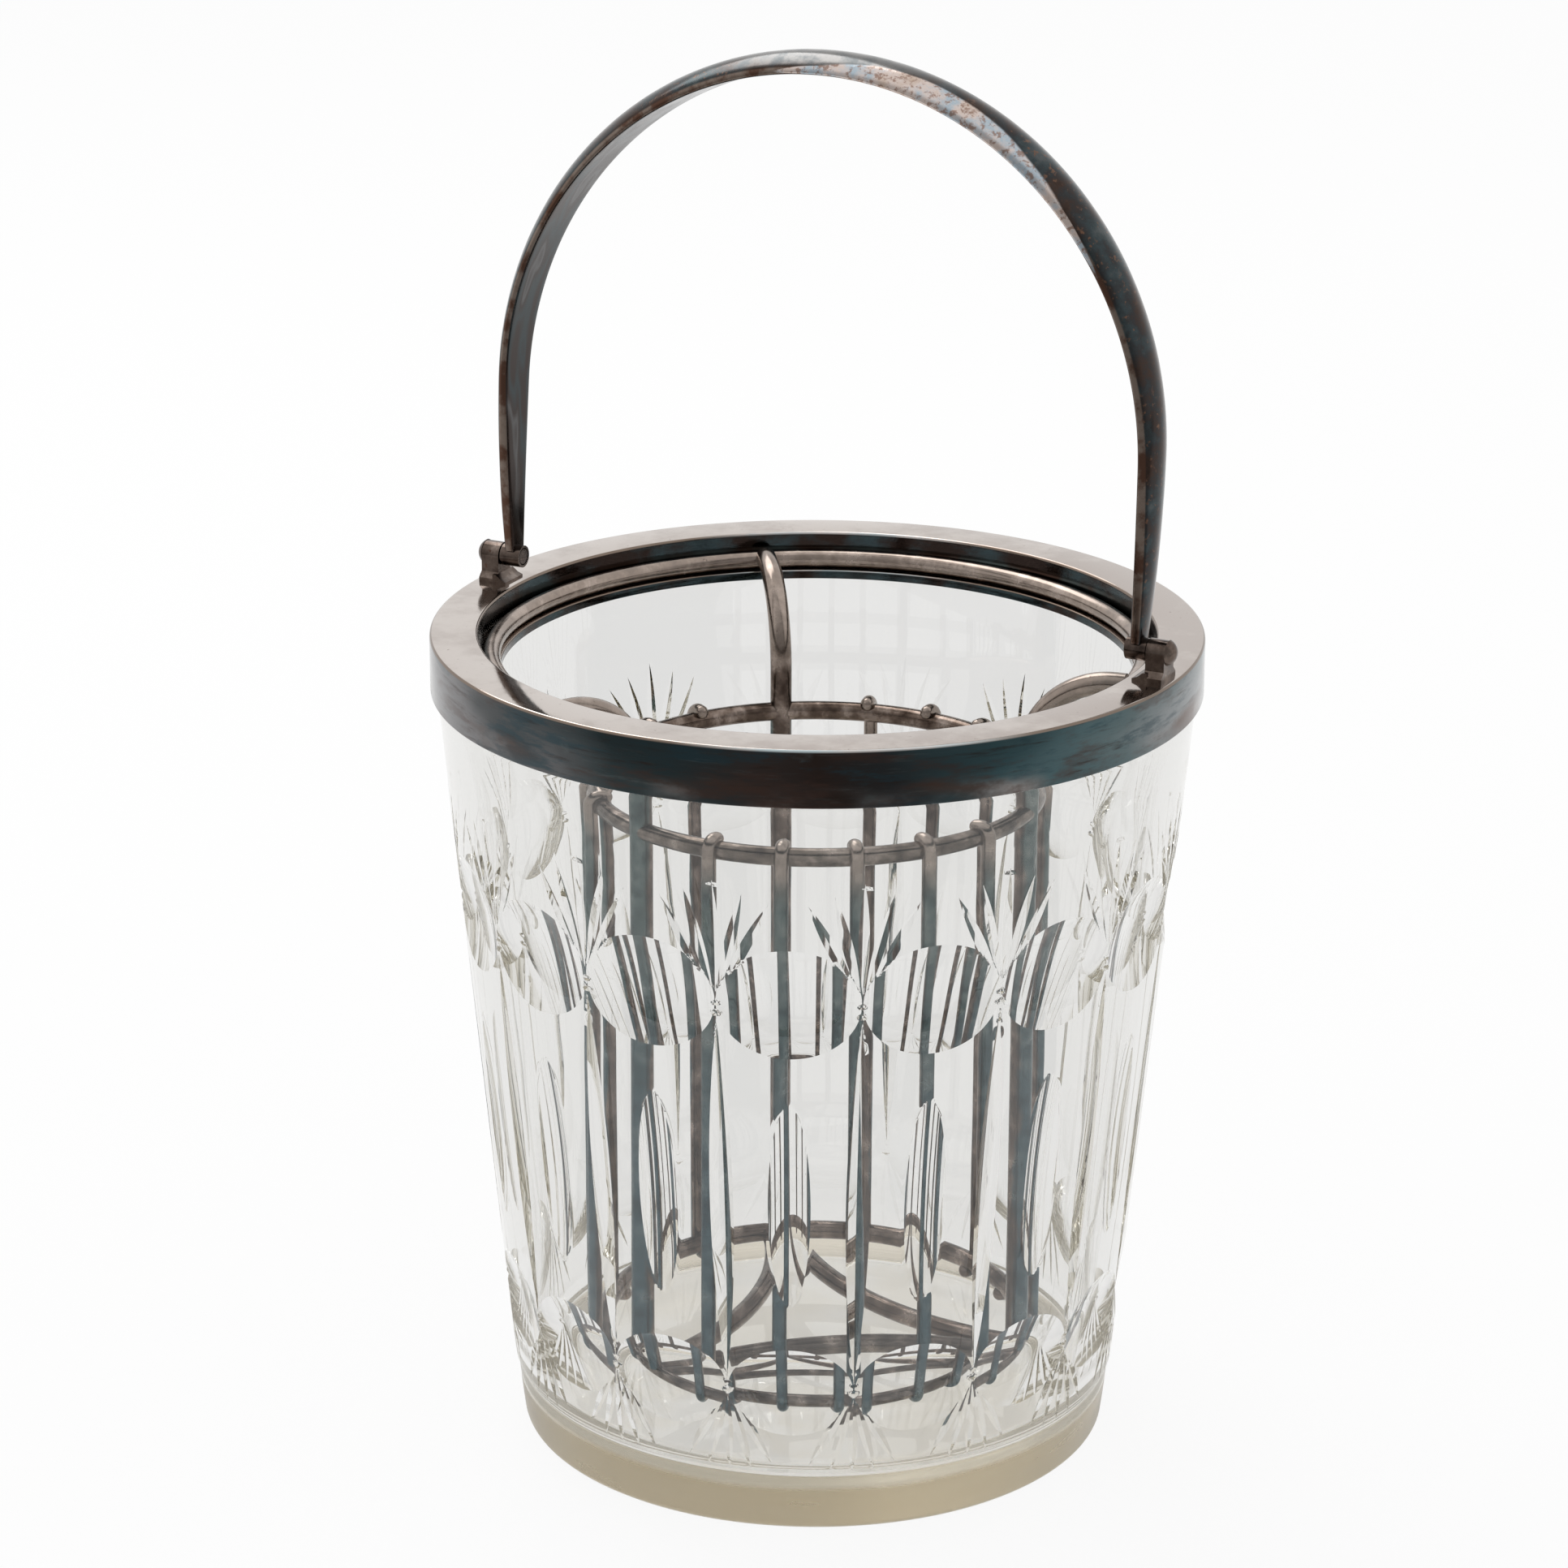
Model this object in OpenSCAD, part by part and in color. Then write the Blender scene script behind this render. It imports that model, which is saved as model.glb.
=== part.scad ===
// Champagne cooler: a cut-glass vessel with a plated rim mount and swing handle,
// and a lift-out wire bottle cage that hangs from a ledge inside the rim.
// Millimetres, +Z up. Origin at the centre of the base, hinge axis of the handle along X.

/* [Vessel] */
// Outside diameter of the rim mount
rim_diameter = 190; // [180:1:215]
// Height of the flat top of the rim above the table
rim_height = 208.5; // [200:0.5:230]
// Diameter of the glass where its wall line meets the table
base_diameter = 149.8; // [142:0.2:156]
// Thickness of the glass wall
wall_thickness = 6.5; // [5.5:0.1:8]
// Thickness of the glass floor
floor_thickness = 12; // [9:0.5:14]
// Height of the plain foot band
foot_height = 11; // [8:0.5:13]

/* [Glass cutting] */
// Number of repeats of the cut pattern round the wall
repeats = 16; // [12:1:16]
// Turn of the pattern against the hinge axis
pattern_turn = 10.9; // [0:0.1:22]
// Depth of the upper lens cuts
lens_depth = 1.6; // [1:0.1:1.8]
// Depth of the long stem mitres
stem_depth = 2.6; // [1.5:0.1:3]
// Greatest width of the long stem mitres
stem_width = 5.8; // [4:0.1:6.5]
// Depth of the olive cuts
olive_depth = 1.6; // [1:0.1:2]
// Greatest width of the olive cuts
olive_width = 10.2; // [8:0.1:10.5]
// Depth of the fan leaves
leaf_depth = 1; // [0.6:0.1:1.4]

/* [Rim mount] */
// Height of the outer band of the rim mount
band_height = 14.2; // [12:0.1:17]
// Thickness of the metal of the rim mount
mount_thickness = 1.5; // [1.2:0.1:1.8]
// Width of the flat top of the rim mount
flat_width = 11.9; // [11:0.1:13]
// Depth of the ledge below the flat top
ledge_depth = 8.75; // [8:0.05:10]
// Thickness of the ledge
ledge_thickness = 2.35; // [1.8:0.05:3]

/* [Hinge] */
// Height of the hinge axis above the flat top
pivot_height = 6.7; // [6.2:0.1:8.5]
// Thickness of a lug along the hinge axis
lug_thickness = 4.8; // [4:0.1:5.2]
// Diameter of the rounded top of a lug
lug_diameter = 6; // [5.4:0.1:6.6]
// Diameter of the hinge pins
pin_diameter = 3; // [2.4:0.1:3.4]
// Diameter of the domed pin heads
pin_head_diameter = 6.3; // [5.5:0.1:7]
// Outside diameter of a handle knuckle
knuckle_diameter = 5.6; // [5.2:0.1:6.4]
// Length of a handle knuckle
knuckle_length = 5.4; // [4.8:0.1:6]

/* [Handle] */
// Height of the handle above the hinge axis, to the middle of the band
handle_rise = 132; // [115:1:160]
// Outward bow of the legs
leg_bow = 1.7; // [1.3:0.1:3.5]
// Width of the handle band at its top
band_width_top = 15.4; // [10:0.1:16]
// Width of the handle band at the hinge
band_width_foot = 5.3; // [4.6:0.1:6]
// Thickness of the handle band at its top
band_thickness_top = 5.2; // [4:0.1:6]
// Thickness of the handle band at the hinge
band_thickness_foot = 2.8; // [2.4:0.1:3.4]
// Radius of the rounded outside of the handle band, across the band
band_crown = 10; // [9.5:0.1:20]
// Lean of the standing handle to the +Y side
handle_lean = 3.4; // [0:0.2:6]

/* [Cage] */
// Wire diameter of the hanging ring
ring_wire = 4.4; // [4:0.1:4.8]
// Radius of the two cage rings, to the middle of the wire
cage_radius = 54.2; // [50:0.1:55]
// Wire diameter of the two cage rings and the rest arcs
cage_wire = 4.8; // [4.2:0.1:5.2]
// Drop from the hanging ring to the upper cage ring
upper_ring_drop = 33.2; // [30:0.2:45]
// Height of the bottom cage ring
bottom_ring_height = 24.2; // [22.5:0.1:30]
// Diameter of the three hanger bars
arm_wire = 5.5; // [4.8:0.1:6]
// Straight length of a hanger bar between its bend and the middle of the hanging ring
arm_straight = 3; // [2:0.1:6]
// Diameter of the thin bars
thin_wire = 3.5; // [3:0.1:4]
// Angle between a hanger bar and the thin bar beside it
first_gap = 24; // [18:0.5:26]
// Depth by which the thin bars are let in where they cross the rings
thin_lap = 1.4; // [1:0.1:1.5]
// Angle by which the hooked ends of a thin bar wrap a ring
hook_wrap = 112; // [95:1:130]
// Distance of the rest arcs from the axis
rest_reach = 17.5; // [12:0.5:22]
// Turn of the cage against the hinge axis
cage_turn = 6; // [0:0.5:30]

/* [Hidden] */
$fn = 96;
// Steps in a cut of the glass and in a leg of the handle
cut_steps = 24;
leg_steps = 16;
// Clearance between parts that move against each other
loose = 0.3;
// Gap left for solder between wires
solder = 0.05;
// Radial clearance of the hinge bores
running = 0.05;
arms = 3;
thin_bars = 5;
arm_pitch = 360 / arms;

rim_r = rim_diameter / 2;
base_r = base_diameter / 2;
band_z = rim_height - band_height;
mount_in_r = rim_r - flat_width;
glass_gap = 0.1;
glass_top_r = rim_r - mount_thickness - glass_gap;
glass_top_z = rim_height - mount_thickness - glass_gap;
wall_slope = (glass_top_r - base_r) / band_z;
wall_tilt = atan(wall_slope);
wall_secant = 1 / cos(wall_tilt);
function wall_r(z) = base_r + wall_slope * z;
function inner_r(z) = wall_r(z) - wall_thickness * wall_secant;

foot_round = 2;
foot_inset = 0.7;
foot_bevel = 3;
floor_round = 8;

// The pattern is drawn for a wall of this height and stretched to fit
drawn_wall = 194.3;
stretch = band_z / drawn_wall;
pattern_pitch = 360 / repeats;
upper_knot_z = 143.4 * stretch;
lower_knot_z = 38.9 * stretch;
lens_tall = 28 * stretch;
lower_lens_tall = 23.5 * stretch;
lower_lens_depth = 0.88 * lens_depth;
olive_z = 90 * stretch;
olive_tall = 54.5 * stretch;
stem_z = 89.8 * stretch;
stem_tall = 97 * stretch;
// Fan leaves as [angle, start, end], measured from the knot
leaf_width = 2.4;
fan = [[-27, 12, 29.3], [-14, 8, 29.7], [0, 5, 31.5], [14, 8, 29.7], [27, 12, 29.3]];
low_fan = [[-27, 10, 21], [-14, 6.5, 21], [0, 4, 21], [14, 6.5, 21], [27, 10, 21]];
wheel_margin = 1.1;
lens_gap = 0.3;

pivot_z = rim_height + pivot_height;
head_rise = 2;
lug_out_x = rim_r - head_rise;
lug_in_x = lug_out_x - lug_thickness;
knuckle_out_x = lug_in_x - loose;
knuckle_in_x = knuckle_out_x - knuckle_length;
knuckle_mid_x = (knuckle_out_x + knuckle_in_x) / 2;
pin_end_thickness = 0.5;
pin_end_r = 0.34 * knuckle_diameter;
bore_r = pin_diameter / 2 + running;
foot_plate = 1.1;
foot_spread = 1.4;

// The handle is an arch on two slightly bowed legs. Its outer and inner outlines are each
// a half circle on two flat arcs, so that the band thins out from the top to the hinge.
arch_r = knuckle_mid_x + leg_bow;
arch_share = pow(arch_r / handle_rise, 2);
thickness_side = band_thickness_top - (band_thickness_top - band_thickness_foot) * arch_share;
out_r = arch_r + thickness_side / 2;
out_z = handle_rise + band_thickness_top / 2 - out_r;
out_bow = out_r - knuckle_mid_x - band_thickness_foot / 2;
in_r = arch_r - thickness_side / 2;
in_z = handle_rise - band_thickness_top / 2 - in_r;
in_bow = in_r - knuckle_mid_x + band_thickness_foot / 2;
// Radius of a flat arc from its length and its bow, to a thousandth
function bow_r(long, bow) = round(1000 * (long * long + bow * bow) / (2 * bow)) / 1000;
taper = (band_width_top - band_width_foot) / 2;
function band_half(z) = band_width_top / 2 - taper * pow(abs(1 - z / handle_rise), 2.5);
side_steps = 12;
side_heights = [for (i = [0 : side_steps]) (handle_rise + band_thickness_top) * i / side_steps];

// The hanging ring has to pass the wall of the mount and the inner ends of the knuckles
ring_play = 0.7;
ring_out_r = min(mount_in_r - ring_play, knuckle_in_x - loose - solder);
ring_r = ring_out_r - ring_wire / 2;
ring_z = rim_height - ledge_depth + ring_wire / 2 + loose;
ledge_in_r = ring_out_r - ring_wire - 2 * solder;
upper_ring_z = ring_z - upper_ring_drop;
// The hanger bars are level with the underside of the hanging ring, so they clear the ledge too
arm_z = ring_z + (arm_wire - ring_wire) / 2;
bend_r = ring_r - arm_straight - cage_radius;
// The ends of the hanger bars reach this far short of the middle of the ring wire
arm_short = ring_wire / 6;
arm_r = arm_wire / 2;
wire_r = cage_wire / 2;
thin_r = thin_wire / 2;
knob_r = 1.05 * thin_r;
thin_reach = wire_r + thin_r - thin_lap;
thin_ring_r = cage_radius + thin_reach;
thin_step = (arm_pitch - 2 * first_gap) / (thin_bars - 1);
arm_foot_z = bottom_ring_height + 0.6 * wire_r;
// The rest arcs end this many degrees from the middle of a hanger bar
rest_inset = 3;
rest_end = arm_pitch / 2 - rest_inset;
rest_r = (cage_radius * cage_radius + rest_reach * rest_reach
    - 2 * rest_reach * cage_radius * cos(rest_end))
    / (2 * (cage_radius * cos(rest_end) - rest_reach));
rest_angle = asin(cage_radius * sin(rest_end) / rest_r);

thin_nodes = [for (i = [1 : arms * thin_bars]) str("thin_bar_", i < 10 ? "0" : "", i)];

// Colours
glass_colour = [0.86, 0.88, 0.86, 0.5];
plate_colour = [0.62, 0.58, 0.55];
wire_colour = [0.52, 0.47, 0.43];

// A corner of a profile rounded by a circle that touches both sides
module corner(at, r) {
    translate(at)
        circle(r);
}

// Outline of the glass in the half plane, without its inside
module glass_outside() {
    foot_r = base_r - foot_inset;
    union() {
        polygon([
            [0, 0],
            [foot_r - foot_round, 0],
            [foot_r, foot_round],
            [wall_r(foot_height) - foot_inset, foot_height],
            [wall_r(foot_height + foot_bevel), foot_height + foot_bevel],
            [glass_top_r, band_z],
            [glass_top_r, glass_top_z],
            [0, glass_top_z]]);
        corner([foot_r - foot_round, foot_round], foot_round);
    }
}

// The hollow of the glass in the half plane
module glass_hollow() {
    round_z = floor_thickness + floor_round;
    round_x = inner_r(round_z) - floor_round * wall_secant;
    union() {
        polygon([
            [0, floor_thickness],
            [round_x, floor_thickness],
            [round_x + floor_round * cos(wall_tilt), round_z - floor_round * sin(wall_tilt)],
            [inner_r(band_z), band_z],
            [inner_r(band_z), rim_height],
            [0, rim_height]]);
        corner([round_x, round_z], floor_round);
    }
}

// Places a cutting wheel square to the wall
module on_wall(angle, z, spin = 0) {
    rotate([0, 0, angle])
        translate([wall_r(z), 0, z])
            rotate([0, wall_tilt, 0])
                rotate([spin, 0, 0])
                    children();
}

function wheel_r(long, deep) = (long * long / 4 + deep * deep) / (2 * deep);

// Part of a wheel's edge, centred on the wall, that reaches a little past the ends of its cut
module wheel_edge(r, long) {
    half = asin(min(1, wheel_margin * long / 2 / r));
    rotate([90, 0, 0])
        rotate([0, 0, 180 - half])
            rotate_extrude(angle = 2 * half, $fn = 360 * cut_steps / half)
                children();
}

// Sharp wheel: cuts a mitre, pointed at both ends
module mitre(long, wide, deep) {
    r = wheel_r(long, deep);
    translate([r - deep, 0, 0])
        wheel_edge(r, long)
            polygon([
                [r, 0],
                [r - wheel_margin * deep, wheel_margin * wide / 2],
                [r - wheel_margin * deep, -wheel_margin * wide / 2]]);
}

// Round wheel: cuts an olive
module olive(long, wide, deep) {
    r = wheel_r(long, deep);
    edge = wheel_r(wide, deep);
    translate([r - deep, 0, 0])
        wheel_edge(r, long)
            translate([r - edge, 0])
                circle(edge);
}

// Broad wheel: cuts a shallow lens
module lens(z, tall, deep) {
    r = wheel_r(tall, deep);
    broad = 2 * (wall_r(z) - deep) * tan(pattern_pitch / 2) - lens_gap;
    translate([r - deep, 0, 0])
        rotate([90, 0, 0])
            cylinder(h = broad, r = r, center = true);
}

// A fan of mitres that spread from a knot
module leaves(angle, z, list, down = false) {
    for (leaf = list)
        on_wall(angle, z, down ? 180 + leaf[0] : leaf[0])
            translate([0, 0, stretch * (leaf[1] + leaf[2]) / 2])
                mitre(stretch * (leaf[2] - leaf[1]), leaf_width, leaf_depth);
}

// One repeat of the cut pattern
module cuts(angle) {
    half = pattern_pitch / 2;
    on_wall(angle + half, upper_knot_z)
        lens(upper_knot_z, lens_tall, lens_depth);
    on_wall(angle + half, lower_knot_z)
        lens(lower_knot_z, lower_lens_tall, lower_lens_depth);
    on_wall(angle + half, olive_z)
        olive(olive_tall, olive_width, olive_depth);
    on_wall(angle, stem_z)
        mitre(stem_tall, stem_width, stem_depth);
    leaves(angle, upper_knot_z, fan);
    leaves(angle, lower_knot_z, low_fan, down = true);
}

module glass_vessel() {
    color(glass_colour)
        difference() {
            rotate_extrude()
                difference() {
                    glass_outside();
                    glass_hollow();
                }
            for (i = [0 : repeats - 1])
                cuts(pattern_turn + i * pattern_pitch);
        }
}

// Spun cap over the glass edge, with a sleeve and a ledge inside
module rim_mount() {
    edge = 0.8;
    sleeve_r = mount_in_r + mount_thickness;
    ledge_z = rim_height - ledge_depth;
    color(plate_colour)
        rotate_extrude()
            union() {
                polygon([
                    [rim_r, band_z],
                    [rim_r, rim_height - edge],
                    [rim_r - edge, rim_height],
                    [mount_in_r + edge, rim_height],
                    [mount_in_r, rim_height - edge],
                    [mount_in_r, ledge_z],
                    [ledge_in_r, ledge_z],
                    [ledge_in_r, ledge_z - ledge_thickness],
                    [sleeve_r, ledge_z - ledge_thickness],
                    [sleeve_r, rim_height - mount_thickness],
                    [rim_r - mount_thickness, rim_height - mount_thickness],
                    [rim_r - mount_thickness, band_z]]);
                corner([rim_r - edge, rim_height - edge], edge);
                corner([mount_in_r + edge, rim_height - edge], edge);
            }
}

// Lug on the +X side: flared foot, upright and rounded top with a bore
module lug() {
    top_r = lug_diameter / 2;
    foot_half = top_r + foot_spread;
    color(plate_colour)
        difference() {
            union() {
                translate([lug_in_x, 0, rim_height])
                    rotate([90, 0, 90])
                        linear_extrude(lug_thickness)
                            union() {
                                polygon([
                                    [-foot_half, 0], [foot_half, 0],
                                    [foot_half, foot_plate],
                                    [top_r, foot_plate + foot_spread],
                                    [top_r, pivot_height],
                                    [-top_r, pivot_height],
                                    [-top_r, foot_plate + foot_spread],
                                    [-foot_half, foot_plate]]);
                                corner([0, pivot_height], top_r);
                            }
                translate([lug_in_x - 2 * foot_spread, foot_half, rim_height])
                    rotate([90, 0, 0])
                        linear_extrude(2 * foot_half)
                            polygon([
                                [0, 0], [2 * foot_spread + 1, 0],
                                [2 * foot_spread + 1, 2 * foot_plate],
                                [2 * foot_spread, 2 * foot_plate],
                                [foot_spread, foot_plate],
                                [0, foot_plate / 2]]);
            }
            translate([lug_in_x - 1, 0, pivot_z])
                rotate([0, 90, 0])
                    cylinder(h = lug_thickness + 2, r = bore_r);
        }
}

module lug_left() {
    mirror([1, 0, 0])
        lug();
}

module lug_right() {
    lug();
}

// Pin on the +X side: domed head outside the lug, flat peened end sunk in the knuckle
module pin() {
    head_r = pin_head_diameter / 2;
    dome_r = (head_r * head_r + head_rise * head_rise) / (2 * head_rise);
    end_x = knuckle_in_x + solder;
    color(plate_colour)
        translate([0, 0, pivot_z])
            rotate([0, 90, 0])
                union() {
                    translate([0, 0, end_x])
                        cylinder(h = lug_out_x - end_x + head_rise / 4, r = pin_diameter / 2);
                    translate([0, 0, end_x])
                        cylinder(h = pin_end_thickness, r = pin_end_r);
                    intersection() {
                        translate([0, 0, lug_out_x + solder + head_rise - dome_r])
                            sphere(dome_r);
                        translate([0, 0, lug_out_x + solder])
                            cylinder(h = head_rise, r = head_r);
                    }
                }
}

module pin_left() {
    mirror([1, 0, 0])
        pin();
}

module pin_right() {
    pin();
}

// Turns the handle about the hinge axis to its standing pose
module standing() {
    translate([0, 0, pivot_z])
        rotate([-handle_lean, 0, 0])
            children();
}

// Handle knuckle on the +X side, sunk at its inner end for the end of the pin
module knuckle() {
    color(plate_colour)
        translate([knuckle_in_x, 0, 0])
            rotate([0, 90, 0])
                difference() {
                    cylinder(h = knuckle_length, r = knuckle_diameter / 2);
                    translate([0, 0, -1])
                        cylinder(h = knuckle_length + 2, r = bore_r);
                    translate([0, 0, -1])
                        cylinder(h = 1 + solder + pin_end_thickness + loose, r = pin_end_r + loose);
                }
}

module knuckle_left() {
    standing()
        mirror([1, 0, 0])
            knuckle();
}

module knuckle_right() {
    standing()
        knuckle();
}

// Half circle on two bowed legs, seen from the front and filled
module arch_outline(r, z, bow) {
    flat_r = bow_r(z, bow);
    translate([0, z])
        circle(r);
    intersection() {
        translate([-r, -1])
            square([2 * r, z + 1]);
        translate([r - flat_r, z])
            circle(flat_r, $fn = 360 * leg_steps / asin(z / flat_r));
        translate([flat_r - r, z])
            circle(flat_r, $fn = 360 * leg_steps / asin(z / flat_r));
    }
}

// Arc of a thick hoop on edge, rounded on its outside
module crowned_arc(r, from, span, steps) {
    rotate([90, 0, 0])
        rotate([0, 0, from])
            rotate_extrude(angle = span, $fn = steps) {
                translate([r - band_crown, 0])
                    circle(band_crown, $fn = 96);
                translate([r - 3 * band_crown, -band_crown])
                    square([2 * band_crown, 2 * band_crown]);
            }
}

module leg_body() {
    flat_r = bow_r(out_z, out_bow);
    span = 1.1 * asin(out_z / flat_r);
    translate([out_r - flat_r, 0, out_z])
        crowned_arc(flat_r, -span, span, 360 * leg_steps / span);
}

// Outer form of the handle, filled: the arch and the two bowed legs, all with a rounded outside
module arch_body() {
    translate([0, 0, out_z])
        crowned_arc(out_r, 0, 180, 180);
    leg_body();
    mirror([1, 0, 0])
        leg_body();
}

module handle_arch() {
    color(plate_colour)
        standing()
            difference() {
                intersection() {
                    arch_body();
                    rotate([90, 0, 90])
                        linear_extrude(3 * rim_r, center = true)
                            polygon(concat(
                                [for (z = side_heights) [band_half(z), z]],
                                [for (i = [side_steps : -1 : 0])
                                    [-band_half(side_heights[i]), side_heights[i]]]));
                }
                rotate([90, 0, 0])
                    linear_extrude(3 * band_crown, center = true)
                        arch_outline(in_r, in_z, in_bow);
                rotate([0, 90, 0])
                    cylinder(h = 2 * rim_r, r = knuckle_diameter / 2 + solder, center = true);
            }
}

// A round wire bent to a full ring
module wire_ring(r, z, wire) {
    translate([0, 0, z])
        rotate_extrude()
            translate([r, 0])
                circle(wire);
}

module hanging_ring() {
    color(wire_colour)
        wire_ring(ring_r, ring_z, ring_wire / 2);
}

// Hanger bar: up from the bottom ring, round a bend and out to the hanging ring
module arm_bar(k) {
    bend_z = arm_z - bend_r;
    bend_x = cage_radius + bend_r;
    color(wire_colour)
        rotate([0, 0, cage_turn + (k - 1) * arm_pitch])
            difference() {
                union() {
                    translate([cage_radius, 0, arm_foot_z])
                        cylinder(h = bend_z - arm_foot_z, r = arm_r);
                    translate([bend_x, 0, bend_z])
                        rotate([90, 0, 0])
                            rotate([0, 0, 90])
                                rotate_extrude(angle = 90)
                                    translate([bend_r, 0])
                                        circle(arm_r);
                    translate([bend_x, 0, arm_z])
                        rotate([0, 90, 0])
                            cylinder(h = arm_straight - arm_short, r = arm_r);
                }
                wire_ring(ring_r, ring_z, ring_wire / 2 + solder);
                wire_ring(cage_radius, bottom_ring_height, wire_r + solder);
            }
}

module arm_bar_1() {
    arm_bar(1);
}

module arm_bar_2() {
    arm_bar(2);
}

module arm_bar_3() {
    arm_bar(3);
}

// Cuts away the hanger bars from a wire that butts against them
module clear_of_arms() {
    difference() {
        children();
        for (k = [0 : arms - 1])
            rotate([0, 0, cage_turn + k * arm_pitch])
                translate([cage_radius, 0, 0])
                    cylinder(h = ring_z, r = arm_r + solder);
    }
}

// Upper ring: one wire arc from each hanger bar to the next
module upper_ring_arc(k) {
    color(wire_colour)
        clear_of_arms()
            rotate([0, 0, cage_turn + (k - 1) * arm_pitch])
                translate([0, 0, upper_ring_z])
                    rotate_extrude(angle = arm_pitch)
                        translate([cage_radius, 0])
                            circle(wire_r);
}

module upper_ring_arc_1() {
    upper_ring_arc(1);
}

module upper_ring_arc_2() {
    upper_ring_arc(2);
}

module upper_ring_arc_3() {
    upper_ring_arc(3);
}

module bottom_ring() {
    color(wire_colour)
        wire_ring(cage_radius, bottom_ring_height, wire_r);
}

// Bottle rest: an arc bowed in towards the axis, from one hanger bar to the next
module rest_arc(k) {
    color(wire_colour)
        difference() {
            clear_of_arms()
                rotate([0, 0, cage_turn + (k - 0.5) * arm_pitch])
                    translate([rest_reach + rest_r, 0, bottom_ring_height])
                        rotate([0, 0, 180 - rest_angle])
                            rotate_extrude(angle = 2 * rest_angle)
                                translate([rest_r, 0])
                                    circle(wire_r);
            wire_ring(cage_radius, bottom_ring_height, wire_r + solder);
        }
}

module rest_arc_1() {
    rest_arc(1);
}

module rest_arc_2() {
    rest_arc(2);
}

module rest_arc_3() {
    rest_arc(3);
}

// Hooked end of a thin bar, bent round a ring wire, above or below it
module hook() {
    rotate([90, 0, 0])
        rotate_extrude(angle = hook_wrap)
            translate([thin_reach, 0])
                circle(thin_r);
    rotate([0, -hook_wrap, 0])
        translate([thin_reach, 0, 0])
            sphere(knob_r);
}

// Thin bar on the outside of the rings, hooked over the upper ring and under the bottom ring
module thin_bar(i) {
    bay = floor((i - 1) / thin_bars);
    place = (i - 1) % thin_bars;
    color(wire_colour)
        rotate([0, 0, cage_turn + bay * arm_pitch + first_gap + place * thin_step])
            difference() {
                union() {
                    translate([thin_ring_r, 0, bottom_ring_height])
                        cylinder(h = upper_ring_z - bottom_ring_height, r = thin_r);
                    translate([cage_radius, 0, upper_ring_z])
                        hook();
                    translate([cage_radius, 0, bottom_ring_height])
                        mirror([0, 0, 1])
                            hook();
                }
                wire_ring(cage_radius, upper_ring_z, wire_r + solder);
                wire_ring(cage_radius, bottom_ring_height, wire_r + solder);
            }
}

glass_vessel();
rim_mount();
lug_left();
lug_right();
pin_left();
pin_right();
handle_arch();
knuckle_left();
knuckle_right();
hanging_ring();
arm_bar_1();
arm_bar_2();
arm_bar_3();
upper_ring_arc_1();
upper_ring_arc_2();
upper_ring_arc_3();
bottom_ring();
rest_arc_1();
rest_arc_2();
rest_arc_3();
for (i = [1 : arms * thin_bars])
    thin_bar(i);
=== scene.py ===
"""Looks of a cut-glass champagne cooler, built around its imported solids. Metres, +Z up."""
import math

import bpy
import numpy as np
from mathutils import Matrix, Vector


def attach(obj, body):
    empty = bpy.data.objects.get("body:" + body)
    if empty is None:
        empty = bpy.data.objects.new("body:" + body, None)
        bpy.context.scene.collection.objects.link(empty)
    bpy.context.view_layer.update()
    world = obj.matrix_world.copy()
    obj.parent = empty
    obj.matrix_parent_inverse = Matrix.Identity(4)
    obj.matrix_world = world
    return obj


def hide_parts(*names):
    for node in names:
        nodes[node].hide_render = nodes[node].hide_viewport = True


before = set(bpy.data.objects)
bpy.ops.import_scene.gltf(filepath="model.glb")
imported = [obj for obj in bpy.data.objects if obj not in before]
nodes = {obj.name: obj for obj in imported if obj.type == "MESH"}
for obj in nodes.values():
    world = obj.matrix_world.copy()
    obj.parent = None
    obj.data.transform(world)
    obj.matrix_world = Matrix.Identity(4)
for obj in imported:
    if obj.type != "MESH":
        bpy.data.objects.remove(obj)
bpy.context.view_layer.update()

MM = 0.001

# Camera, in millimetres and degrees, in a frame that is turned against the part's frame about Z
PHOTO_SIDE = 1932.0
FOCAL_PX = 6232.03
SENSOR_MM = 36.0
CAMERA_AT = (-14.64, -1185.50, 577.41)
CAMERA_YAW, CAMERA_PITCH, CAMERA_ROLL = 0.3197, 19.0688, 0.199
VIEW_TURN = 26.9
# Clipping distances in metres
CLIP_NEAR, CLIP_FAR = 0.05, 50.0


def make_camera():
    """The camera of the photograph."""
    yaw, pitch, roll = (math.radians(a) for a in (CAMERA_YAW, CAMERA_PITCH, CAMERA_ROLL))
    forward = Vector((math.sin(yaw) * math.cos(pitch), math.cos(yaw) * math.cos(pitch), -math.sin(pitch)))
    right = Vector((math.cos(yaw), -math.sin(yaw), 0.0))
    up = right.cross(forward)
    cam_x = math.cos(roll) * right + math.sin(roll) * up
    cam_y = math.cos(roll) * up - math.sin(roll) * right
    turn = Matrix.Rotation(math.radians(VIEW_TURN), 3, "Z")
    axes = turn @ Matrix((cam_x, cam_y, -forward)).transposed()
    data = bpy.data.cameras.new("photo_camera")
    data.sensor_width = SENSOR_MM
    data.lens = SENSOR_MM * FOCAL_PX / PHOTO_SIDE
    data.clip_start, data.clip_end = CLIP_NEAR, CLIP_FAR
    camera = bpy.data.objects.new("photo_camera", data)
    camera.matrix_world = Matrix.Translation(turn @ Vector(CAMERA_AT) * MM) @ axes.to_4x4()
    bpy.context.scene.collection.objects.link(camera)
    bpy.context.scene.camera = camera


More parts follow.
